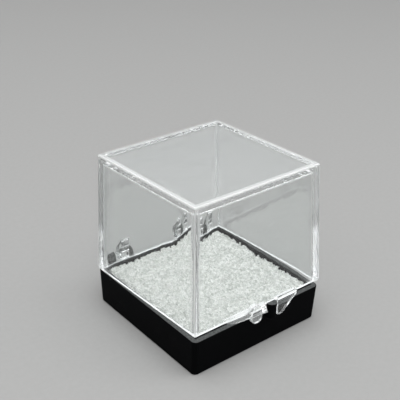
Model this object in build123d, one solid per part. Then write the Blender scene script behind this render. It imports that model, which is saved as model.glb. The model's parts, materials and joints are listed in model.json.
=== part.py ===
from build123d import *
import math
import os

# A small specimen display box: a clear hinged lid, a black tray and a foam insert.
# Millimetres, +Z up. The origin is the middle of the tray's underside.
# The catch is on the front, -Y, and the hinge on the back, +Y.

# Box
BOX_SIDE = 33.0  # outside width and depth where the lid meets the tray
TRAY_HEIGHT = 8.0  # underside to ledge
LID_HEIGHT = 26.0  # rim to roof
LID_AJAR = 2.4  # degrees that the lid stands open at rest, its catch not pressed home

# Lid shell
LID_WALL = 1.0
LID_ROOF = 1.7
LID_DRAFT = 2.1  # degrees that each wall leans in
LID_EDGE_R = 0.3  # outside vertical corners
LID_ROOF_R = 0.25  # outside roof edges
LID_INNER_R = 0.5  # inside vertical corners
LID_SWELL = 5.0  # degrees that an inner wall turns in towards each corner, which thickens it
LID_SWELL_R = 35.0  # soft bend between an inner wall and its swell
LID_SWELL_FLAT = 0.85  # straight run between that bend and the corner's round
LID_CEILING_R = 0.3  # inside round between the walls and the roof
SEAT_GAP = 0.03  # between the closed lid's rim and the ledge

# Tray shell
LEDGE_WIDTH = 1.6
TRAY_FLOOR = 1.2
TRAY_DRAFT = 1.9  # degrees that each side leans in towards the underside
TRAY_CORNER_R = 1.1
TRAY_FOOT_R = 0.3  # round of the underside's edge
LEDGE_R = 0.2  # round of the ledge's outside edge
POCKET_R = 1.0

# Foam insert
FOAM_BELOW_LEDGE = 0.1  # the middle height of its broken top
FOAM_HILL_PITCH = 3.6  # between the high and low places of that top
FOAM_HILL_RISE = 0.25  # how far they stand above or below its middle height
FOAM_HILL_WAVES = [(2.3, 4.1), (3.7, -1.9)]  # radians of each wave per hill along X and Y
FOAM_GAP = 0.25  # between the foam and the pocket's sides
FOAM_CORNER_R = 0.8
FOAM_WORN_R = 3.0  # the back right corner has crumbled away
FOAM_TOP_R = 0.3  # round of its top edge

# Catch: a post on the tray between the lid's thumb lip and its catch wing
CATCH_GAP = 0.12  # between the tray's front and what hangs before it
POST_X = 2.6
POST_R = 1.1
POST_OUT = 0.35  # the post's centre line before the tray's front
POST_RISE = 1.75  # above the ledge
POST_DROP = 1.45  # below the ledge
LIP_START = 9.7  # its thin end, left of the middle
LIP_POST_GAP = 0.7  # between its thick end and the post
LIP_OUT = 1.3
LIP_DROP = 0.95  # its underside below the lid's rim
LIP_DROP_RUN = 3.0  # along the box, until that drop is reached
LIP_BROW_OUT = 0.7  # the crease across its face
LIP_BROW_RISE = 0.3
LIP_RISE = 1.0  # its top above the lid's rim
TONGUE_X = -2.1
TONGUE_WIDTH = 2.5
TONGUE_OUT = 1.4
TONGUE_THICKNESS = 0.85  # where it hangs free below the lip
TONGUE_RISE = 1.4  # its top above the lid's rim
TONGUE_R = 0.9  # its rounded corners
TONGUE_DROP = 2.15  # its tip below the lid's rim
WING_POST_GAP = 0.25
WING_END = 9.1  # right of the middle
WING_THICKNESS = 0.7
WING_RISE = 0.9
WING_DROP = 3.2
WING_FOOT = 1.3  # width of its level lower edge
WING_CORNER_R = 0.4

# Hinge: stub pins on the lid's lugs turn in holes through the tray's ears
HINGE_OUT = 1.4  # pin axis behind the back wall
HINGE_UP = 0.6  # pin axis above the ledge
KNUCKLE_R = 1.1
PIN_R = 0.6
PIN_FIT = 0.05  # radial clearance of a pin in its hole
PIN_GRIP = 0.8  # how far a pin stands in its ear
HINGE_SIDE_GAP = 0.2  # between a lug and an ear
OUTER_EAR_GAP = 1.2  # between the left lug and the ear outside it
LUG_WIDTH = 2.0
LUG_RISE = 4.7  # top of a lug's gusset above the rim
LUG_SHOULDER_OUT = 1.95
LUG_SHOULDER_RISE = 2.3
LEFT_LUG_X = -9.15  # middle of the left hinge's lug
OUTER_EAR_WIDTH = 2.1
INNER_EAR_WIDTH = 1.1
RIGHT_EAR_X = 8.7  # middle of the right hinge's ear
RIGHT_EAR_WIDTH = 2.2
EAR_DROP = 3.0  # foot of an ear's gusset below the ledge
EAR_FOOT_OUT = 0.6
ROOT = 0.7  # how far a moulded-on feature reaches into its wall

# Worked-out places
HALF = BOX_SIDE / 2
FRONT = -HALF
BACK = HALF
RIM = TRAY_HEIGHT + SEAT_GAP
HINGE_Y = BACK + HINGE_OUT
HINGE_Z = TRAY_HEIGHT + HINGE_UP
POCKET_SIDE = BOX_SIDE - 2 * LEDGE_WIDTH
WING_START = POST_X + POST_R + WING_POST_GAP
LIP_END = POST_X - POST_R - LIP_POST_GAP


def frustum(side_low, radius_low, z_low, side_high, radius_high, z_high):
    """A solid between two level squares with rounded corners."""
    low = Pos(0, 0, z_low) * RectangleRounded(side_low, side_low, radius_low)
    high = Pos(0, 0, z_high) * RectangleRounded(side_high, side_high, radius_high)
    return loft([low.face(), high.face()], ruled=True)


def side_profile(points, x_from, x_to):
    """A solid with an outline in Y and Z, between two places along X."""
    outline = Plane.YZ * Polygon(*points, align=None)
    return Pos(x_from, 0, 0) * extrude(outline, x_to - x_from, dir=(1, 0, 0))


def front_profile(outline, y_from, y_to):
    """A solid with an outline in X and Z, between two places along Y."""
    return Pos(0, y_from, 0) * extrude(Plane.XZ * outline, y_to - y_from, dir=(0, 1, 0))


def hinge_round(radius, x_from, x_to):
    """A cylinder on the hinge's axis, between two places along X."""
    width = x_to - x_from
    return Pos((x_from + x_to) / 2, HINGE_Y, HINGE_Z) * Rot(0, 90, 0) * Cylinder(radius, width)


def block(x_from, x_to, y_from, y_to, z_from, z_to):
    """A plain block between two corners."""
    size = (x_to - x_from, y_to - y_from, z_to - z_from)
    return Pos(x_from, y_from, z_from) * Box(*size, align=(Align.MIN, Align.MIN, Align.MIN))


# Places of the hinge's lugs and ears along X, worked out from the two hinge middles
LEFT_LUG = (LEFT_LUG_X - LUG_WIDTH / 2, LEFT_LUG_X + LUG_WIDTH / 2)
OUTER_EAR = (LEFT_LUG[0] - OUTER_EAR_GAP - OUTER_EAR_WIDTH, LEFT_LUG[0] - OUTER_EAR_GAP)
INNER_EAR = (LEFT_LUG[1] + HINGE_SIDE_GAP, LEFT_LUG[1] + HINGE_SIDE_GAP + INNER_EAR_WIDTH)
RIGHT_EAR = (RIGHT_EAR_X - RIGHT_EAR_WIDTH / 2, RIGHT_EAR_X + RIGHT_EAR_WIDTH / 2)
FORK_IN = (RIGHT_EAR[0] - HINGE_SIDE_GAP - LUG_WIDTH, RIGHT_EAR[0] - HINGE_SIDE_GAP)
FORK_OUT = (RIGHT_EAR[1] + HINGE_SIDE_GAP, RIGHT_EAR[1] + HINGE_SIDE_GAP + LUG_WIDTH)
LUGS = [LEFT_LUG, FORK_IN, FORK_OUT]
EARS = [OUTER_EAR, INNER_EAR, RIGHT_EAR]


def hinge_lug(x_from, x_to):
    """One clear gusset on the lid's back wall, with a round end on the pin axis."""
    points = [
        (BACK - ROOT, RIM),
        (HINGE_Y - KNUCKLE_R, RIM),
        (HINGE_Y, HINGE_Z),
        (HINGE_Y + KNUCKLE_R, HINGE_Z),
        (BACK + LUG_SHOULDER_OUT, RIM + LUG_SHOULDER_RISE),
        (BACK, RIM + LUG_RISE),
        (BACK - ROOT, RIM + LUG_RISE),
    ]
    return side_profile(points, x_from, x_to) + hinge_round(KNUCKLE_R, x_from, x_to)


def hinge_pins():
    """Stub pins that stand out of the lugs into the ears beside them."""
    left = hinge_round(PIN_R, OUTER_EAR[1] - PIN_GRIP, INNER_EAR[0] + PIN_GRIP)
    fork_in = hinge_round(PIN_R, FORK_IN[1], RIGHT_EAR[0] + PIN_GRIP)
    fork_out = hinge_round(PIN_R, RIGHT_EAR[1] - PIN_GRIP, FORK_OUT[0])
    return [left, fork_in, fork_out]


def hinge_ear(x_from, x_to):
    """One black gusset on the tray's back, with a hole for a stub pin."""
    points = [
        (BACK - ROOT, TRAY_HEIGHT - EAR_DROP),
        (BACK - ROOT, TRAY_HEIGHT - ROOT),
        (HINGE_Y - KNUCKLE_R, TRAY_HEIGHT),
        (HINGE_Y - KNUCKLE_R, HINGE_Z),
        (HINGE_Y + KNUCKLE_R, HINGE_Z),
        (BACK + EAR_FOOT_OUT, TRAY_HEIGHT - EAR_DROP),
    ]
    return side_profile(points, x_from, x_to) + hinge_round(KNUCKLE_R, x_from, x_to)


def thumb_lip():
    """The lip on the lid's front that grows out towards the post."""
    low = RIM - LIP_DROP
    high = RIM + LIP_RISE
    plan = Polygon(
        (-LIP_START, FRONT),
        (LIP_END, FRONT - LIP_OUT),
        (LIP_END, FRONT + ROOT),
        (-LIP_START, FRONT + ROOT),
        align=None,
    )
    front = Polygon(
        (-LIP_START, RIM),
        (LIP_DROP_RUN - LIP_START, low),
        (LIP_END, low),
        (LIP_END, high),
        (-LIP_START, high),
        align=None,
    )
    side = [
        (FRONT + ROOT, low),
        (FRONT - LIP_OUT, low),
        (FRONT - LIP_BROW_OUT, RIM + LIP_BROW_RISE),
        (FRONT, high),
        (FRONT + ROOT, high),
    ]
    lip = Pos(0, 0, low) * extrude(plan, high - low)
    lip = lip & front_profile(front, FRONT - LIP_OUT, FRONT + ROOT)
    return lip & side_profile(side, -LIP_START, LIP_END)


def lip_tongue():
    """The round-cornered tongue across the lip, which hangs free below it."""
    pill = RectangleRounded(TONGUE_WIDTH, TONGUE_DROP + TONGUE_RISE, TONGUE_R)
    pill = Pos(TONGUE_X, RIM + (TONGUE_RISE - TONGUE_DROP) / 2) * pill
    tongue = front_profile(pill, FRONT - TONGUE_OUT, FRONT + ROOT)
    x_from = TONGUE_X - TONGUE_WIDTH / 2
    x_to = TONGUE_X + TONGUE_WIDTH / 2
    behind = FRONT - TONGUE_OUT + TONGUE_THICKNESS
    return tongue - block(x_from, x_to, behind, FRONT + ROOT, RIM - TONGUE_DROP, RIM - LIP_DROP)


def catch_wing():
    """The clear plate on the lid's front that hangs beside the post."""
    outline = Polygon(
        (WING_START, RIM + WING_RISE),
        (WING_END, RIM + WING_RISE),
        (WING_END, RIM),
        (WING_START + WING_FOOT, RIM - WING_DROP),
        (WING_START, RIM - WING_DROP),
        align=None,
    )
    outline = fillet(outline.vertices().sort_by(Axis.Y)[:2], WING_CORNER_R)
    return front_profile(outline, FRONT - CATCH_GAP - WING_THICKNESS, FRONT + ROOT)


def hollow_outline(side):
    """A level square whose sides turn in softly before its round corners."""
    half = side / 2
    swell = math.radians(LID_SWELL)
    bend = LID_SWELL_R * math.tan(swell / 2)
    corner = LID_INNER_R * math.tan(math.pi / 4 - swell)
    run = bend + LID_SWELL_FLAT + corner
    tip = half - run * math.sin(swell)
    turn = tip - run * math.cos(swell)
    quarter = [(half, turn), (tip, tip), (turn, half)]
    points = []
    for _ in range(4):
        points = points + quarter
        quarter = [(-y, x) for x, y in quarter]
    outline = Polygon(*points, align=None)
    tips = [place for place in outline.vertices() if math.isclose(abs(place.X), abs(place.Y))]
    outline = fillet(tips, LID_INNER_R)
    bends = [
        place for place in outline.vertices()
        if math.isclose(max(abs(place.X), abs(place.Y)), half)
    ]
    return fillet(bends, LID_SWELL_R)


def closed_lid():
    """The lid with its rim just above the ledge."""
    lean = math.tan(math.radians(LID_DRAFT))
    roof_under = LID_HEIGHT - LID_ROOF
    inner = BOX_SIDE - 2 * LID_WALL
    shell = frustum(
        BOX_SIDE, LID_EDGE_R, RIM,
        BOX_SIDE - 2 * lean * LID_HEIGHT, LID_EDGE_R, RIM + LID_HEIGHT,
    )
    shell = fillet(shell.edges().group_by(Axis.Z)[-1], LID_ROOF_R)
    hollow_low = Pos(0, 0, RIM) * hollow_outline(inner)
    hollow_high = Pos(0, 0, RIM + roof_under) * hollow_outline(inner - 2 * lean * roof_under)
    hollow = loft([hollow_low.face(), hollow_high.face()], ruled=True)
    hollow = fillet(hollow.edges().group_by(Axis.Z)[-1], LID_CEILING_R)
    catch = thumb_lip() + lip_tongue() + catch_wing()
    catch = catch - block(-HALF, HALF, FRONT - CATCH_GAP, FRONT + ROOT, RIM - WING_DROP, RIM)
    lid = shell + catch
    for lug in LUGS:
        lid = lid + hinge_lug(*lug)
    for pin in hinge_pins():
        lid = lid + pin
    return lid - hollow


def catch_post():
    """The round post on the tray's front, flat behind where it stands above the ledge."""
    low = TRAY_HEIGHT - POST_DROP
    high = TRAY_HEIGHT + POST_RISE
    centre = FRONT - POST_OUT
    post = Pos(POST_X, centre, (low + high) / 2) * Cylinder(POST_R, high - low)
    x_from = POST_X - POST_R
    x_to = POST_X + POST_R
    return post - block(x_from, x_to, FRONT - CATCH_GAP, centre + POST_R, TRAY_HEIGHT, high)


def base_tray():
    """The black tray with its catch post and hinge ears."""
    lean = math.tan(math.radians(TRAY_DRAFT))
    under_side = BOX_SIDE - 2 * lean * TRAY_HEIGHT
    tray = frustum(under_side, TRAY_CORNER_R, 0, BOX_SIDE, TRAY_CORNER_R, TRAY_HEIGHT)
    tray = fillet(tray.edges().group_by(Axis.Z)[0], TRAY_FOOT_R)
    tray = fillet(tray.edges().group_by(Axis.Z)[-1], LEDGE_R)
    tray = tray + catch_post()
    for ear in EARS:
        tray = tray + hinge_ear(*ear)
    for ear in EARS:
        tray = tray - hinge_round(PIN_R + PIN_FIT, *ear)
    pocket_low = POCKET_SIDE - 2 * lean * (TRAY_HEIGHT - TRAY_FLOOR)
    return tray - frustum(pocket_low, POCKET_R, TRAY_FLOOR, POCKET_SIDE, POCKET_R, TRAY_HEIGHT)


def foam_outline(side):
    """A level square with one corner worn round."""
    square = Rectangle(side, side)
    worn = square.vertices().sort_by(lambda corner: corner.X + corner.Y)[-1]
    square = fillet(worn, FOAM_WORN_R)
    sharp = [corner for corner in square.vertices() if min(corner.X, corner.Y) < -side / 4]
    return fillet(sharp, FOAM_CORNER_R)


def flat_face(*points):
    """A flat face between points."""
    return Face(Wire.make_polygon(points))


def broken_block(side, low, middle):
    """A block whose top is a field of flat facets between high and low corners."""
    count = math.ceil(side / FOAM_HILL_PITCH)
    step = side / count
    rows = []
    for i in range(count + 1):
        row = []
        for j in range(count + 1):
            waves = [math.sin(along * i + across * j) for along, across in FOAM_HILL_WAVES]
            height = middle + FOAM_HILL_RISE * sum(waves) / len(waves)
            row.append((i * step - side / 2, j * step - side / 2, height))
        rows.append(row)
    faces = []
    for near, far in zip(rows, rows[1:]):
        for a, b, c, d in zip(near, far, far[1:], near[1:]):
            faces = faces + [flat_face(a, b, c), flat_face(a, c, d)]
    columns = [list(column) for column in zip(*rows)]
    for line in (rows[0], rows[-1], columns[0], columns[-1]):
        first = (line[0][0], line[0][1], low)
        last = (line[-1][0], line[-1][1], low)
        faces.append(flat_face(*line, last, first))
    corners = [rows[0][0], rows[-1][0], rows[-1][-1], rows[0][-1]]
    faces.append(flat_face(*[(x, y, low) for x, y, _ in corners]))
    return Solid(Shell(faces))


def foam_insert():
    """The foam block, with the shape of the pocket less a gap and a broken top."""
    lean = math.tan(math.radians(TRAY_DRAFT))
    middle = TRAY_HEIGHT - FOAM_BELOW_LEDGE
    top = middle + FOAM_HILL_RISE
    side_high = POCKET_SIDE - 2 * lean * (TRAY_HEIGHT - top) - 2 * FOAM_GAP
    side_low = side_high - 2 * lean * (top - TRAY_FLOOR)
    low = Pos(0, 0, TRAY_FLOOR) * foam_outline(side_low)
    high = Pos(0, 0, top) * foam_outline(side_high)
    foam = loft([low.face(), high.face()], ruled=True)
    foam = fillet(foam.edges().group_by(Axis.Z)[-1], FOAM_TOP_R)
    return foam & broken_block(POCKET_SIDE, 0, middle)


os.makedirs("parts", exist_ok=True)

hinge_axis = Axis((0, HINGE_Y, HINGE_Z), (-1, 0, 0))
lid = closed_lid().rotate(hinge_axis, LID_AJAR)
export_step(lid, "parts/lid.step")
export_step(base_tray(), "parts/base_tray.step")
export_step(foam_insert(), "parts/foam_insert.step")
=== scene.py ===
import json
import math

import bpy
import numpy as np
from mathutils import Matrix, Vector
from mathutils.bvhtree import BVHTree


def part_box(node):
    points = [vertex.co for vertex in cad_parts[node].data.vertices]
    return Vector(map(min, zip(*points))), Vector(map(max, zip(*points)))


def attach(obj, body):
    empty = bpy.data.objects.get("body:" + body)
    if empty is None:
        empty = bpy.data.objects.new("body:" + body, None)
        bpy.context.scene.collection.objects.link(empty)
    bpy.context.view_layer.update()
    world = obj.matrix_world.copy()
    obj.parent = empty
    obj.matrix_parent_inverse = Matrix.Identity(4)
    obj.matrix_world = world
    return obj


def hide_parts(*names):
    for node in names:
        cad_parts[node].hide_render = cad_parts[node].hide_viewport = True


# A small specimen display box: clear hinged lid, black tray, coarse white foam.
# Metres, +Z up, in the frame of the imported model.

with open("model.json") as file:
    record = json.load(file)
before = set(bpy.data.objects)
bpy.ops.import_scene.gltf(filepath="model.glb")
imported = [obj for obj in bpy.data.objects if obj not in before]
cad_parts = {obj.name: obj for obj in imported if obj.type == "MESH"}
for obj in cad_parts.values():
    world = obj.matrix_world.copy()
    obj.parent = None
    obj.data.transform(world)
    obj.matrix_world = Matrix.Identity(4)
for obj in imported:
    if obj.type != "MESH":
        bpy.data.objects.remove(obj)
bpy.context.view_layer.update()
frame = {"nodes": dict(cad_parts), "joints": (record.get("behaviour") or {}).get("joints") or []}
MM = 0.001

# The walls guide light edge to edge over many inner reflections
INNER_BOUNCES = 40
PASSING_BOUNCES = 24

scene = bpy.context.scene
scene.view_settings.view_transform = "Standard"
scene.cycles.max_bounces = INNER_BOUNCES
scene.cycles.transmission_bounces = INNER_BOUNCES
scene.cycles.glossy_bounces = INNER_BOUNCES
scene.cycles.transparent_max_bounces = PASSING_BOUNCES


# Camera, at the photograph's place
CAMERA_PLACE = (-0.094966, -0.111897, 0.103524)
CAMERA_AZIMUTH = math.radians(-39.573)
CAMERA_ELEVATION = math.radians(27.836)
CAMERA_ROLL = math.radians(1.51)
FOCAL_PIXELS = 828.774
IMAGE_PIXELS = 400
SENSOR_WIDTH = 36.0


def add_camera():
    back = Vector((
        math.sin(CAMERA_AZIMUTH) * math.cos(CAMERA_ELEVATION),
        -math.cos(CAMERA_AZIMUTH) * math.cos(CAMERA_ELEVATION),
        math.sin(CAMERA_ELEVATION),
    ))
    level = Vector((0, 0, 1)).cross(back).normalized()
    upright = back.cross(level)
    right = level * math.cos(CAMERA_ROLL) + upright * math.sin(CAMERA_ROLL)
    up = upright * math.cos(CAMERA_ROLL) - level * math.sin(CAMERA_ROLL)
    data = bpy.data.cameras.new("camera")
    data.sensor_width = SENSOR_WIDTH
    data.lens = FOCAL_PIXELS / IMAGE_PIXELS * SENSOR_WIDTH
    data.clip_start = 0.005
    data.clip_end = 20.0
    camera = bpy.data.objects.new("camera", data)
    camera.matrix_world = Matrix((
        (right.x, up.x, back.x, CAMERA_PLACE[0]),
        (right.y, up.y, back.y, CAMERA_PLACE[1]),
        (right.z, up.z, back.z, CAMERA_PLACE[2]),
        (0, 0, 0, 1),
    ))
    scene.collection.objects.link(camera)
    scene.camera = camera


def add_lamp(name, place, target, size, power):
    """A rectangular soft lamp that faces its target."""
    data = bpy.data.lights.new(name, "AREA")
    data.shape = "RECTANGLE"
    data.size = size[0]
    data.size_y = size[1]
    data.energy = power
    lamp = bpy.data.objects.new(name, data)
    lamp.location = place
    lamp.rotation_euler = (Vector(target) - Vector(place)).to_track_quat("-Z", "Y").to_euler()
    scene.collection.objects.link(lamp)


class Nodes:
    """Adds shader nodes to a tree. A value is a socket or a plain one, and a stretch is where
    a change starts and ends."""

    def __init__(self, tree):
        self.tree = tree

    def feed(self, socket, value):
        if isinstance(value, bpy.types.NodeSocket):
            self.tree.links.new(value, socket)
        else:
            socket.default_value = value

    def add(self, kind, settings=None, **values):
        """A node with its settings made and its named sockets fed."""
        node = self.tree.nodes.new("ShaderNode" + kind)
        for name, value in (settings or {}).items():
            setattr(node, name, value)
        for name, value in values.items():
            self.feed(node.inputs[name.replace("_", " ")], value)
        return node

    def place(self):
        """Where a point of the surface is, in metres, from the object's own coordinates."""
        return self.add("TexCoord").outputs["Object"]

    def split(self, vector):
        return self.add("SeparateXYZ", Vector=vector).outputs

    def ray_is(self, kind):
        """1 for rays of a kind, such as Camera or Shadow, and 0 for the others."""
        return self.add("LightPath").outputs[f"Is {kind} Ray"]

    def calculate(self, operation, *values):
        node = self.add("Math", {"operation": operation})
        for socket, value in zip(node.inputs, values):
            self.feed(socket, value)
        return node.outputs[0]

    def total(self, first, second):
        return self.calculate("ADD", first, second)

    def difference(self, first, second):
        return self.calculate("SUBTRACT", first, second)

    def product(self, first, *others):
        for value in others:
            first = self.calculate("MULTIPLY", first, value)
        return first

    def larger(self, first, second):
        return self.calculate("MAXIMUM", first, second)

    def smaller(self, first, second):
        return self.calculate("MINIMUM", first, second)

    def unsigned(self, value):
        return self.calculate("ABSOLUTE", value)

    def ramp(self, value, stretch, results):
        """Goes from the first to the second result while a value crosses a stretch."""
        node = self.add("MapRange", Value=value)
        for name, bound in zip(("From Min", "From Max", "To Min", "To Max"), (*stretch, *results)):
            self.feed(node.inputs[name], bound)
        return node.outputs["Result"]

    def rises(self, value, stretch):
        """0 before a stretch and 1 beyond it."""
        return self.ramp(value, stretch, (0.0, 1.0))

    def falls(self, value, stretch):
        """1 before a stretch and 0 beyond it."""
        return self.ramp(value, stretch, (1.0, 0.0))

    def noise(self, place, scale, detail, roughness=0.5, distortion=0.0):
        """Smooth noise with its scale in waves per metre."""
        return self.add(
            "TexNoise", Vector=place, Scale=scale, Detail=detail,
            Roughness=roughness, Distortion=distortion,
        ).outputs["Fac"]

    def bump(self, height, distance, strength, before=None):
        """A normal with relief, on top of the normal before it if there is one."""
        node = self.add("Bump", Height=height, Distance=distance, Strength=strength)
        if before is not None:
            self.feed(node.inputs["Normal"], before)
        return node.outputs["Normal"]

    def mix_colour(self, factor, first, second):
        """From the first to the second of two colours, with the factor."""
        mix = self.add("Mix", {"data_type": "RGBA"}, Factor=factor, A=first, B=second)
        return mix.outputs["Result"]

    def mix_shader(self, factor, first, second):
        """The first shader, or the second where the factor is 1."""
        mix = self.add("MixShader", Fac=factor)
        self.feed(mix.inputs[1], first)
        self.feed(mix.inputs[2], second)
        return mix.outputs[0]

    def shader(self, kind, **values):
        return self.add(kind, **values).outputs[0]

    def end_with(self, shader):
        self.add("OutputMaterial", Surface=shader)


def new_material(name):
    """A material, and its emptied tree to add nodes to."""
    material = bpy.data.materials.new(name)
    material.use_nodes = True
    material.node_tree.nodes.clear()
    return material, Nodes(material.node_tree)


# The surroundings: how bright the world is for each kind of ray
BACKDROP = 0.43
ROOM_LIGHT = 0.2
GUIDED_LIGHT = 1.6
ROOM_COLOUR = (0.98, 0.99, 1.0, 1)
SKY_STRETCH = (0.15, 0.4)


def set_world():
    """A plain surrounding: bright overhead where clear plastic guides the view out to it,
    and as pale as the floor where the camera sees it, also through the lid."""
    world = bpy.data.worlds.new("studio")
    world.use_nodes = True
    nodes = Nodes(world.node_tree)
    upward = nodes.split(nodes.add("TexCoord").outputs["Generated"])["Z"]
    overhead = nodes.ramp(upward, SKY_STRETCH, (BACKDROP, GUIDED_LIGHT))
    guided = nodes.product(overhead, nodes.ray_is("Transmission"))
    seen = nodes.ramp(nodes.ray_is("Camera"), (0.0, 1.0), (ROOM_LIGHT, BACKDROP))
    background = world.node_tree.nodes["Background"]
    nodes.feed(background.inputs["Color"], ROOM_COLOUR)
    nodes.feed(background.inputs["Strength"], nodes.larger(guided, seen))
    scene.world = world


# Sizes of the closed lid, whose rises are measured up from its rim
HINGE = next(joint for joint in frame["joints"] if joint["name"] == "lid_hinge")
HINGE_PLACE = Vector(HINGE["pos_m"])
LID_AJAR = -math.radians(HINGE["range_deg"][0])
LID_LEAN = math.tan(math.radians(2.1))
RIM_HEIGHT = 8.03 * MM
ROOF_RISE = 26.0 * MM
CEILING_RISE = 24.3 * MM
CEILING_ROUND_RISE = CEILING_RISE - 0.12 * MM
OUTER_HALF = 16.5 * MM
INNER_HALF = 15.5 * MM
ROOF_BORDER = OUTER_HALF - 1.05 * MM
LIP_END = 1.2 * MM

# Where the masks of the lid's edges start and end
RIM_FLAT = (0.01 * MM, 0.04 * MM)
ROOF_ROUND = (ROOF_RISE - 0.5 * MM, ROOF_RISE - 0.25 * MM)
ROOF_FAR = (OUTER_HALF - 0.7 * MM, OUTER_HALF - 0.3 * MM)
ROOF_TOP = (ROOF_RISE - 0.06 * MM, ROOF_RISE - 0.02 * MM)
BORDER_LINE = (ROOF_BORDER - 0.04 * MM, ROOF_BORDER + 0.04 * MM)
CEILING_NEAR = (0.12 * MM, 0.18 * MM)
CEILING_FAR = (INNER_HALF - 0.5 * MM, INNER_HALF - 0.3 * MM)
CEILING_INSIDE = (INNER_HALF + 0.03 * MM, INNER_HALF + 0.06 * MM)
CORNER = (OUTER_HALF - 2.0 * MM, OUTER_HALF - 1.0 * MM)
CORNER_ROUND = (OUTER_HALF - 0.35 * MM, OUTER_HALF - 0.2 * MM)
LIP_BEFORE = (-OUTER_HALF - 0.2 * MM, -OUTER_HALF - 0.05 * MM)
LIP_LEFT = (LIP_END, LIP_END + 0.1 * MM)


class LidPlaces:
    """Where a point of the lid lies, with the lid closed and its leaning walls upright."""

    def __init__(self, nodes, place):
        self.nodes = nodes
        closed = nodes.add(
            "VectorRotate", {"rotation_type": "X_AXIS"},
            Vector=place, Center=HINGE_PLACE, Angle=LID_AJAR,
        )
        self.x, self.y, height = nodes.split(closed.outputs["Vector"])
        self.rise = nodes.difference(height, RIM_HEIGHT)
        lean = nodes.product(self.rise, LID_LEAN)
        wide = nodes.total(nodes.unsigned(self.x), lean)
        deep = nodes.total(nodes.unsigned(self.y), lean)
        self.out = nodes.larger(wide, deep)
        self.along = nodes.smaller(wide, deep)

    def rim(self):
        """1 on the flat rim."""
        return self.nodes.falls(self.nodes.unsigned(self.rise), RIM_FLAT)

    def roof_edge(self):
        """1 on the round of the roof's outside edges."""
        high = self.nodes.rises(self.rise, ROOF_ROUND)
        return self.nodes.product(high, self.nodes.rises(self.out, ROOF_FAR))

    def roof_border(self):
        """1 on the roof's top, from its border line to its edge."""
        top = self.nodes.rises(self.rise, ROOF_TOP)
        return self.nodes.product(top, self.nodes.rises(self.out, BORDER_LINE))

    def ceiling_edge(self):
        """1 on the round between the walls and the ceiling."""
        above_round = self.nodes.difference(self.rise, CEILING_ROUND_RISE)
        near = self.nodes.falls(self.nodes.unsigned(above_round), CEILING_NEAR)
        edge = self.nodes.rises(self.out, CEILING_FAR)
        return self.nodes.product(near, edge, self.nodes.falls(self.out, CEILING_INSIDE))

    def corner(self):
        """Grows to 1 towards the vertical corners."""
        return self.nodes.rises(self.along, CORNER)

    def upright_edge(self):
        """1 on the round of the outside vertical edges."""
        return self.nodes.rises(self.along, CORNER_ROUND)

    def thumb_lip(self):
        """1 on the lip and its tongue."""
        before = self.nodes.falls(self.y, LIP_BEFORE)
        return self.nodes.product(before, self.nodes.falls(self.x, LIP_LEFT))


# Where most values of a noise lie
NOISE_STRETCH = (0.3, 0.7)

# Clear plastic, with how much white matte share is painted on each of its edges: a painted glow in
# place of the light its walls guide there
RIM_PAINTED_GLOW = 0.78
ROOF_EDGE_PAINTED_GLOW = 0.75
ROOF_BORDER_PAINTED_GLOW = 0.45
CEILING_EDGE_PAINTED_GLOW = 0.4
CORNER_PAINTED_GLOW = 0.25
UPRIGHT_EDGE_PAINTED_GLOW = 0.45
LIP_PAINTED_GLOW = 0.2
CLEAR_IOR = 1.59
CLEAR_SHARE = 0.988
CLEAR_WAVES = 160.0
CLEAR_HAZE = 90.0
CLEAR_ROUGHNESS = (0.0, 0.02)
CLEAR_TINT = (0.985, 0.995, 0.992, 1)
HAZE_TINT = (0.965, 0.985, 0.985, 1)
PASSING_TINT = (0.93, 0.94, 0.94, 1)


def clear_plastic():
    """Clear moulded polystyrene: slight flow waves, a white glow painted on its edges and lip
    for the light its walls guide there, and light that passes it unbent for shadows."""
    material, nodes = new_material("clear_plastic")
    place = nodes.place()
    lid = LidPlaces(nodes, place)
    # A white matte share is painted on the lid's edges and lip: a painted glow in place of light
    # guided through the walls.
    painted_glow = 0.0
    for mask, amount in (
        (lid.rim(), RIM_PAINTED_GLOW),
        (lid.roof_edge(), ROOF_EDGE_PAINTED_GLOW),
        (lid.roof_border(), ROOF_BORDER_PAINTED_GLOW),
        (lid.ceiling_edge(), CEILING_EDGE_PAINTED_GLOW),
        (lid.corner(), CORNER_PAINTED_GLOW),
        (lid.upright_edge(), UPRIGHT_EDGE_PAINTED_GLOW),
        (lid.thumb_lip(), LIP_PAINTED_GLOW),
    ):
        painted_glow = nodes.larger(painted_glow, nodes.product(mask, amount))
    haze = nodes.noise(place, CLEAR_HAZE, detail=4.0)
    waves = nodes.noise(place, CLEAR_WAVES, detail=2.0)
    plastic = nodes.shader(
        "BsdfPrincipled",
        Base_Color=nodes.mix_colour(haze, CLEAR_TINT, HAZE_TINT),
        Roughness=nodes.ramp(haze, NOISE_STRETCH, CLEAR_ROUGHNESS),
        Transmission_Weight=nodes.ramp(painted_glow, (0.0, 1.0), (CLEAR_SHARE, 0.0)),
        IOR=CLEAR_IOR,
        Normal=nodes.bump(waves, distance=0.06 * MM, strength=0.5),
    )
    passing = nodes.shader("BsdfTransparent", Color=PASSING_TINT)
    shadow_mix = nodes.mix_shader(nodes.ray_is("Shadow"), plastic, passing)
    nodes.end_with(nodes.mix_shader(nodes.ray_is("Diffuse"), shadow_mix, passing))
    return material


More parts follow.
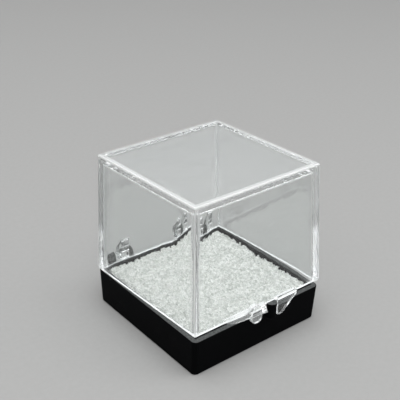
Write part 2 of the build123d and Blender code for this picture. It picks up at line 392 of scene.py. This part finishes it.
# Black plastic, with where the masks of its painted sheen start and end: grey painted on the ledge
# and post cap in place of reflections
LEDGE_HEIGHT = 8.0 * MM
POST_TOP = 9.75 * MM
LEDGE_HIGH = (LEDGE_HEIGHT - 0.1 * MM, LEDGE_HEIGHT - 0.02 * MM)
LEDGE_INNER = (INNER_HALF - 0.2 * MM, INNER_HALF + 0.1 * MM)
LEDGE_OUTER = (OUTER_HALF - 0.1 * MM, OUTER_HALF - 0.02 * MM)
POST_CAP = (POST_TOP - 0.06 * MM, POST_TOP - 0.02 * MM)
FLOW_WAVES = 220.0
SMEAR_WAVES = 60.0
FINE_WAVES = 2600.0
BLACK = (0.0020, 0.0023, 0.0027, 1)
SMEARED_BLACK = (0.0045, 0.0048, 0.0052, 1)
PAINTED_SHEEN_GREY = (0.13, 0.135, 0.135, 1)
SHEEN_PATCH_SHARES = (0.5, 1.0)
SMEAR_STRETCH = (0.35, 0.7)
BLACK_ROUGHNESS = (0.14, 0.3)
BLACK_IOR = 1.5
BLACK_SPECULAR = 0.05


def sheen_places(nodes, place):
    """1 on the ledge where the lid's rim sits and on top of the catch post, where a grey sheen is
    painted in place of reflections.
    """
    x, y, height = nodes.split(place)
    out = nodes.larger(nodes.unsigned(x), nodes.unsigned(y))
    ledge = nodes.product(
        nodes.rises(height, LEDGE_HIGH), nodes.rises(out, LEDGE_INNER), nodes.falls(out, LEDGE_OUTER)
    )
    return nodes.larger(ledge, nodes.rises(height, POST_CAP))


def black_plastic():
    """Black moulded polystyrene with faint flow marks, and a grey sheen painted on the ledge and post
    cap in place of reflections.
    """
    material, nodes = new_material("black_plastic")
    place = nodes.place()
    flow = nodes.noise(place, FLOW_WAVES, detail=3.0)
    smear = nodes.noise(place, SMEAR_WAVES, detail=5.0, roughness=0.6)
    fine = nodes.noise(place, FINE_WAVES, detail=2.0)
    black = nodes.mix_colour(smear, BLACK, SMEARED_BLACK)
    # Painted sheen: grey in noisy patches on the ledge and post cap, standing in for reflections.
    sheen_patches = nodes.ramp(fine, NOISE_STRETCH, SHEEN_PATCH_SHARES)
    painted_sheen = nodes.product(sheen_places(nodes, place), sheen_patches)
    relief = nodes.bump(flow, distance=0.04 * MM, strength=0.4)
    nodes.end_with(nodes.shader(
        "BsdfPrincipled",
        Base_Color=nodes.mix_colour(painted_sheen, black, PAINTED_SHEEN_GREY),
        Roughness=nodes.ramp(smear, SMEAR_STRETCH, BLACK_ROUGHNESS),
        IOR=BLACK_IOR,
        Specular_IOR_Level=BLACK_SPECULAR,
        Normal=nodes.bump(fine, distance=0.004 * MM, strength=0.4, before=relief),
    ))
    return material


# White foam
CELL_WAVES = 1700.0
PATCH_WAVES = 850.0
PAINTED_PIT_SHADE = (0.62, 0.64, 0.61, 1)
FOAM_WHITE = (0.95, 0.955, 0.93, 1)
PATCH_STRETCH = (0.38, 0.62)
FOAM_ROUGHNESS = (0.6, 0.35)
FOAM_GLOW = 0.25
FOAM_GLOW_DEPTH = 0.4 * MM


def white_foam():
    """White foam whose broken cells glint, with grey shade painted in its pits where the bump relief
    is low.
    """
    material, nodes = new_material("white_foam")
    place = nodes.place()
    cells = nodes.add("TexVoronoi", Vector=place, Scale=CELL_WAVES).outputs["Distance"]
    patch = nodes.noise(place, PATCH_WAVES, detail=2.0, distortion=2.0)
    # Grey is painted where the bump relief is low: painted shade in the foam's pits.
    light = nodes.rises(patch, PATCH_STRETCH)
    relief = nodes.bump(patch, distance=0.25 * MM, strength=0.5)
    nodes.end_with(nodes.shader(
        "BsdfPrincipled",
        Base_Color=nodes.mix_colour(light, PAINTED_PIT_SHADE, FOAM_WHITE),
        Roughness=nodes.ramp(patch, NOISE_STRETCH, FOAM_ROUGHNESS),
        Normal=nodes.bump(cells, distance=0.12 * MM, strength=0.6, before=relief),
        Subsurface_Weight=FOAM_GLOW,
        Subsurface_Radius=(1.0, 1.0, 1.0),
        Subsurface_Scale=FOAM_GLOW_DEPTH,
    ))
    return material


# Floor
FLOOR_HALF = 1.5
FLOOR_DROP = 0.02 * MM
FLOOR_GRAIN = 900.0
FLOOR_COLOUR = (0.405, 0.405, 0.40, 1)
GRAIN_COLOUR = (0.45, 0.45, 0.445, 1)
MIRRORED_FLOOR = (0.1, 0.1, 0.1, 1)
FLOOR_ROUGHNESS = 0.85
FLOOR_SPECULAR = 0.2
FLOOR_FADE = (0.25, 0.7)


def pale_floor():
    """Plain pale paper with the faintest grain. It stays as pale far from the lamps, and is
    dark in mirror reflections, as the photograph's floor is."""
    material, nodes = new_material("pale_floor")
    place = nodes.place()
    grain = nodes.noise(place, FLOOR_GRAIN, detail=4.0, roughness=0.6)
    pale = nodes.mix_colour(grain, FLOOR_COLOUR, GRAIN_COLOUR)
    through = nodes.ray_is("Transmission")
    mirrored = nodes.difference(nodes.ray_is("Glossy"), through)
    paper = nodes.shader(
        "BsdfPrincipled",
        Base_Color=nodes.mix_colour(mirrored, pale, MIRRORED_FLOOR),
        Roughness=FLOOR_ROUGHNESS,
        Specular_IOR_Level=FLOOR_SPECULAR,
        Normal=nodes.bump(grain, distance=0.1 * MM, strength=0.3),
    )
    even = nodes.shader("Emission", Color=(BACKDROP, BACKDROP, BACKDROP, 1))
    away = nodes.add("VectorMath", {"operation": "LENGTH"}, Vector=place).outputs["Value"]
    seen = nodes.larger(nodes.ray_is("Camera"), through)
    far = nodes.product(nodes.rises(away, FLOOR_FADE), seen)
    nodes.end_with(nodes.mix_shader(far, paper, even))
    return material


def add_floor():
    sides = ((-1, -1), (1, -1), (1, 1), (-1, 1))
    mesh = bpy.data.meshes.new("floor")
    mesh.from_pydata([(x * FLOOR_HALF, y * FLOOR_HALF, 0) for x, y in sides], [], [(0, 1, 2, 3)])
    mesh.materials.append(pale_floor())
    floor = bpy.data.objects.new("floor", mesh)
    floor.location.z = -FLOOR_DROP
    scene.collection.objects.link(floor)


def dress(node, material):
    """Puts one material on every slot of a CAD node."""
    for slot in frame["nodes"][node].material_slots:
        slot.material = material


# Foam insert, in millimetres until its mesh is made
FOAM_LOW, FOAM_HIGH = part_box("foam_insert")
FOAM_HALF = (FOAM_HIGH[0] - FOAM_LOW[0]) / 2 / MM
FOAM_TOP = FOAM_HIGH[2] / MM
FOAM_BOTTOM = FOAM_LOW[2] / MM
FOAM_LEAN = math.tan(math.radians(1.9))
FOAM_WORN_R = 3.0
GRID = 261
SEED = 7

# The random features of its top and sides: spacings, heights, depths and shares
MARGIN = 3.0
GRAIN_PITCH = 0.55
GRAIN_TILT = 0.30
GRAIN_RISE = 0.06
GRAIN_SPREAD = (0.08, 0.92)
GRAIN_GAP = 0.28
WORM_PITCH = 0.75
TWIG_PITCH = 0.60
BUMP_PITCH = 0.9
CHIP_PITCH = 0.55
RIDGE_WIDTH = 0.26
RIDGE_HEIGHT = 0.25
TWIG_SHARE = 0.8
BUMP_HEIGHT = 0.05
FACET_SHARE = 0.6
GAP_DEPTH = 0.10
GAP_CURVE = 1.5
TOP_SINK = 0.10
WORN_WIDTH = 0.25
WORN_WAVER = 0.10
WORN_LIMIT = 2.6
WORN_DEPTH = 0.2
WORN_CURVE = 1.6
CHIP_START = 0.1
CHIP_SOFTNESS = 0.3
CHIP_REACH = 0.8
CHIP_DEPTH = 0.8
CHIP_CURVE = 0.5
TOP_LOWEST = FOAM_TOP - 3.2
TOP_HIGHEST = FOAM_TOP + 0.05
OUTSIDE_HEIGHT = FOAM_TOP - 3.0
LOOKUP_INSET = 0.03
SIDE_RINGS = 16
SIDE_DENT = 0.05


class SolidTop:
    """Looks up the broad hills and hollows of the CAD foam's top, in millimetres."""

    def __init__(self):
        solid = frame["nodes"]["foam_insert"]
        corners = [solid.matrix_world @ corner.co for corner in solid.data.vertices]
        sides = [tuple(side.vertices) for side in solid.data.polygons]
        self.tree = BVHTree.FromPolygons(corners, sides)

    def height(self, x, y):
        above = Vector((x * MM, y * MM, 2 * FOAM_TOP * MM))
        place = self.tree.ray_cast(above, Vector((0, 0, -1)))[0]
        return OUTSIDE_HEIGHT if place is None else place.z / MM


class Grains:
    """Seeds of a jittered grid, each with its own height and tilt: the broken cells of the foam."""

    def __init__(self, rng):
        self.count = int(2 * (FOAM_HALF + MARGIN) / GRAIN_PITCH) + 2
        shape = (self.count, self.count)
        self.jitter = rng.uniform(*GRAIN_SPREAD, shape + (2,))
        self.rise = rng.normal(0, GRAIN_RISE, shape)
        self.tilt = rng.normal(0, GRAIN_TILT, shape + (2,))

    def height(self, x, y):
        """Facet height, and how deep in the gap between grains each point lies (0 to 1)."""
        origin = -(FOAM_HALF + MARGIN)
        u = (x - origin) / GRAIN_PITCH
        v = (y - origin) / GRAIN_PITCH
        column = np.floor(u).astype(int)
        row = np.floor(v).astype(int)
        first = np.full(x.shape, np.inf)
        second = np.full(x.shape, np.inf)
        facet = np.zeros(x.shape)
        for i in (-1, 0, 1):
            for j in (-1, 0, 1):
                a = np.clip(column + i, 0, self.count - 1)
                b = np.clip(row + j, 0, self.count - 1)
                du = u - (a + self.jitter[a, b, 0])
                dv = v - (b + self.jitter[a, b, 1])
                far = np.hypot(du, dv)
                slope = self.tilt[a, b, 0] * du + self.tilt[a, b, 1] * dv
                here = self.rise[a, b] + slope * GRAIN_PITCH
                nearer = far < first
                second = np.where(nearer, first, np.minimum(second, far))
                facet = np.where(nearer, here, facet)
                first = np.where(nearer, far, first)
        return facet, np.clip(1 - (second - first) / GRAIN_GAP, 0, 1)


def smooth_noise(rng, x, y, pitch):
    """Soft random hills with the given spacing."""
    count = int(2 * (FOAM_HALF + MARGIN) / pitch) + 3
    table = rng.normal(0, 1, (count, count))
    u = (x + FOAM_HALF + MARGIN) / pitch
    v = (y + FOAM_HALF + MARGIN) / pitch
    a, b = np.floor(u).astype(int), np.floor(v).astype(int)
    s, t = u - a, v - b
    s, t = s * s * (3 - 2 * s), t * t * (3 - 2 * t)
    low = table[a, b] * (1 - s) + table[a + 1, b] * s
    high = table[a, b + 1] * (1 - s) + table[a + 1, b + 1] * s
    return low * (1 - t) + high * t


def inset(x, y):
    """How far inside the foam's outline a point lies, with the worn corner rounded."""
    straight = np.minimum(FOAM_HALF - np.abs(x), FOAM_HALF - np.abs(y))
    centre = FOAM_HALF - FOAM_WORN_R
    rounded = FOAM_WORN_R - np.hypot(x - centre, y - centre)
    return np.where((x > centre) & (y > centre), rounded, straight)


def ridges(soft):
    """Thin crests along the lines where soft hills cross their middle height."""
    return np.exp(-(soft / RIDGE_WIDTH) ** 2)


def broken_top(rng, x, y):
    """Height of the broken top at each point: grains and crests on the solid's own hills,
    with a worn and chipped edge."""
    grains = Grains(rng)
    worms = smooth_noise(rng, x, y, WORM_PITCH)
    twigs = smooth_noise(rng, x, y, TWIG_PITCH)
    bumps = smooth_noise(rng, x, y, BUMP_PITCH)
    chips = smooth_noise(rng, x, y, CHIP_PITCH)
    solid = SolidTop()
    reach = 1 - LOOKUP_INSET / FOAM_HALF
    height = np.vectorize(solid.height)(x * reach, y * reach) - TOP_SINK
    facet, gap = grains.height(x, y)
    crests = np.maximum(ridges(worms), TWIG_SHARE * ridges(twigs))
    height = height + RIDGE_HEIGHT * crests + BUMP_HEIGHT * bumps
    height = height + FACET_SHARE * facet - GAP_DEPTH * gap ** GAP_CURVE
    edge = inset(x, y)
    worn = np.clip(1 - (edge + WORN_WAVER * bumps) / WORN_WIDTH, 0, WORN_LIMIT)
    missing = np.clip((chips - CHIP_START) / CHIP_SOFTNESS, 0, 1)
    missing = missing * np.clip(1 - edge / CHIP_REACH, 0, 1) ** CHIP_CURVE
    height = height - WORN_DEPTH * worn ** WORN_CURVE - CHIP_DEPTH * missing
    return np.clip(height, TOP_LOWEST, TOP_HIGHEST)


def number(i, j):
    """The number of a point of the top's grid."""
    return i * GRID + j


def edge_loop():
    """The numbers of the points on the top's edge, once around."""
    last = GRID - 1
    loop = [number(i, 0) for i in range(last)]
    loop += [number(last, j) for j in range(last)]
    loop += [number(i, last) for i in range(last, 0, -1)]
    loop += [number(0, j) for j in range(last, 0, -1)]
    return loop


def side_ring(rng, rim, share):
    """The top's edge, moved down by a share of the sides, drawn in and dented."""
    ring = rim.copy()
    ring[:, 2] = rim[:, 2] * (1 - share) + FOAM_BOTTOM * share
    depth = np.clip(FOAM_TOP - ring[:, 2], 0, None) * FOAM_LEAN
    dent = np.abs(rng.normal(0, SIDE_DENT, len(rim))) * (1 - share)
    ring[:, :2] *= (1 - (depth + dent) / FOAM_HALF)[:, None]
    return ring


def foam_mesh():
    """The foam as one closed mesh: a broken top, cut sides and a flat underside."""
    rng = np.random.default_rng(SEED)
    line = np.linspace(-FOAM_HALF, FOAM_HALF, GRID)
    x, y = np.meshgrid(line, line, indexing="ij")
    top = np.stack([x, y, broken_top(rng, x, y)], axis=-1).reshape(-1, 3)
    faces = [
        (number(i, j), number(i + 1, j), number(i + 1, j + 1), number(i, j + 1))
        for i in range(GRID - 1)
        for j in range(GRID - 1)
    ]
    above = edge_loop()
    rim = top[above]
    around = len(rim)
    places = [top]
    for level in range(SIDE_RINGS):
        places.append(side_ring(rng, rim, (level + 1) / SIDE_RINGS))
        start = len(top) + level * around
        below = list(range(start, start + around))
        for k in range(around):
            n = (k + 1) % around
            faces.append((above[k], below[k], below[n], above[n]))
        above = below
    faces.append(tuple(reversed(above)))
    return np.concatenate(places), faces


# Crystals on the foam
SHARD_CORNERS = np.array(
    [(1, 0, 0), (-1, 0, 0), (0, 1, 0), (0, -1, 0), (0, 0, 1), (0, 0, -1)], dtype=float
)
SHARD_SIDES = [(0, 2, 4), (2, 1, 4), (1, 3, 4), (3, 0, 4), (2, 0, 5), (1, 2, 5), (3, 1, 5), (0, 3, 5)]
SHARD_SHAPE = np.array([2.1, 0.8, 0.6])
SHARD_UNEVEN = (0.7, 1.25)
LOOSE_DRAWS = 1600
LOOSE_SIZE = (0.12, 0.22)
LOOSE_TIP = 0.3
LOOSE_REACH = FOAM_HALF - 0.35
LOOSE_LIFT = 0.02
LOOSE_HIGHEST = FOAM_TOP - 0.05
FRINGE_DRAWS = 3600
FRINGE_SIZE = (0.12, 0.18)
FRINGE_TIP = 0.9
FRINGE_START = 0.05
FRINGE_END = 0.3
FRINGE_LIFT = 0.12
FRINGE_HIGHEST = FOAM_TOP - 0.2
FRINGE_REACH = FOAM_HALF + 0.15


def shard(rng, size, tip):
    """The corners of one long broken crystal, turned at random and tipped by about an angle."""
    uneven = rng.uniform(*SHARD_UNEVEN, (len(SHARD_CORNERS), 1))
    corners = SHARD_CORNERS * (size * SHARD_SHAPE) * uneven
    turn = Matrix.Rotation(rng.uniform(0, 2 * math.pi), 3, "Z")
    turn = turn @ Matrix.Rotation(rng.normal(0, tip), 3, "Y")
    turn = turn @ Matrix.Rotation(rng.uniform(0, 2 * math.pi), 3, "X")
    return corners @ np.array(turn).T


def loose_height(top, x, y):
    """Height of a crystal that lies on the top."""
    i, j = (round((value + FOAM_HALF) / (2 * FOAM_HALF) * (GRID - 1)) for value in (x, y))
    return min(top[number(i, j), 2] + LOOSE_LIFT, LOOSE_HIGHEST)


def loose_shards(rng, top):
    """Small broken crystals that lie on the top and stand out of it."""
    shards = []
    for _ in range(LOOSE_DRAWS):
        x, y = rng.uniform(-LOOSE_REACH, LOOSE_REACH, 2)
        if inset(x, y) >= FRINGE_END:
            crystal = shard(rng, rng.uniform(*LOOSE_SIZE), LOOSE_TIP)
            shards.append(crystal + (x, y, loose_height(top, x, y)))
    return shards


def fringe_shards(rng, top):
    """A fringe of steeper crystals along the top's edge."""
    shards = []
    for x, y in rng.uniform(-FOAM_HALF, FOAM_HALF, (FRINGE_DRAWS, 2)):
        if FRINGE_START < inset(x, y) < FRINGE_END:
            height = min(loose_height(top, x, y) + FRINGE_LIFT, FRINGE_HIGHEST)
            crystal = shard(rng, rng.uniform(*FRINGE_SIZE), FRINGE_TIP) + (x, y, height)
            crystal[:, :2] = np.clip(crystal[:, :2], -FRINGE_REACH, FRINGE_REACH)
            shards.append(crystal)
    return shards


def add_shards(places, faces):
    """The foam's mesh with its crystals."""
    rng = np.random.default_rng(SEED + 1)
    shards = loose_shards(rng, places) + fringe_shards(rng, places)
    for k in range(len(shards)):
        first = len(places) + k * len(SHARD_CORNERS)
        faces.extend([tuple(first + corner for corner in side) for side in SHARD_SIDES])
    return np.concatenate([places] + shards), faces


def add_foam(material):
    places, faces = foam_mesh()
    places, faces = add_shards(places, faces)
    mesh = bpy.data.meshes.new("foam_block")
    mesh.from_pydata((places * MM).tolist(), [], faces)
    mesh.validate()
    mesh.materials.append(material)
    foam = bpy.data.objects.new("foam_block", mesh)
    scene.collection.objects.link(foam)
    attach(foam, "foam_insert")
    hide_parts("foam_insert")


add_camera()
add_floor()
dress("lid", clear_plastic())
dress("base_tray", black_plastic())
add_foam(white_foam())

set_world()
add_lamp(
    "overhead", place=(-0.12, -0.08, 0.55), target=(-0.06, -0.04, 0.01), size=(1.0, 1.0), power=5.6
)
add_lamp("side", place=(0.5, -0.35, 0.35), target=(0, 0, 0.02), size=(0.4, 0.3), power=0.8)
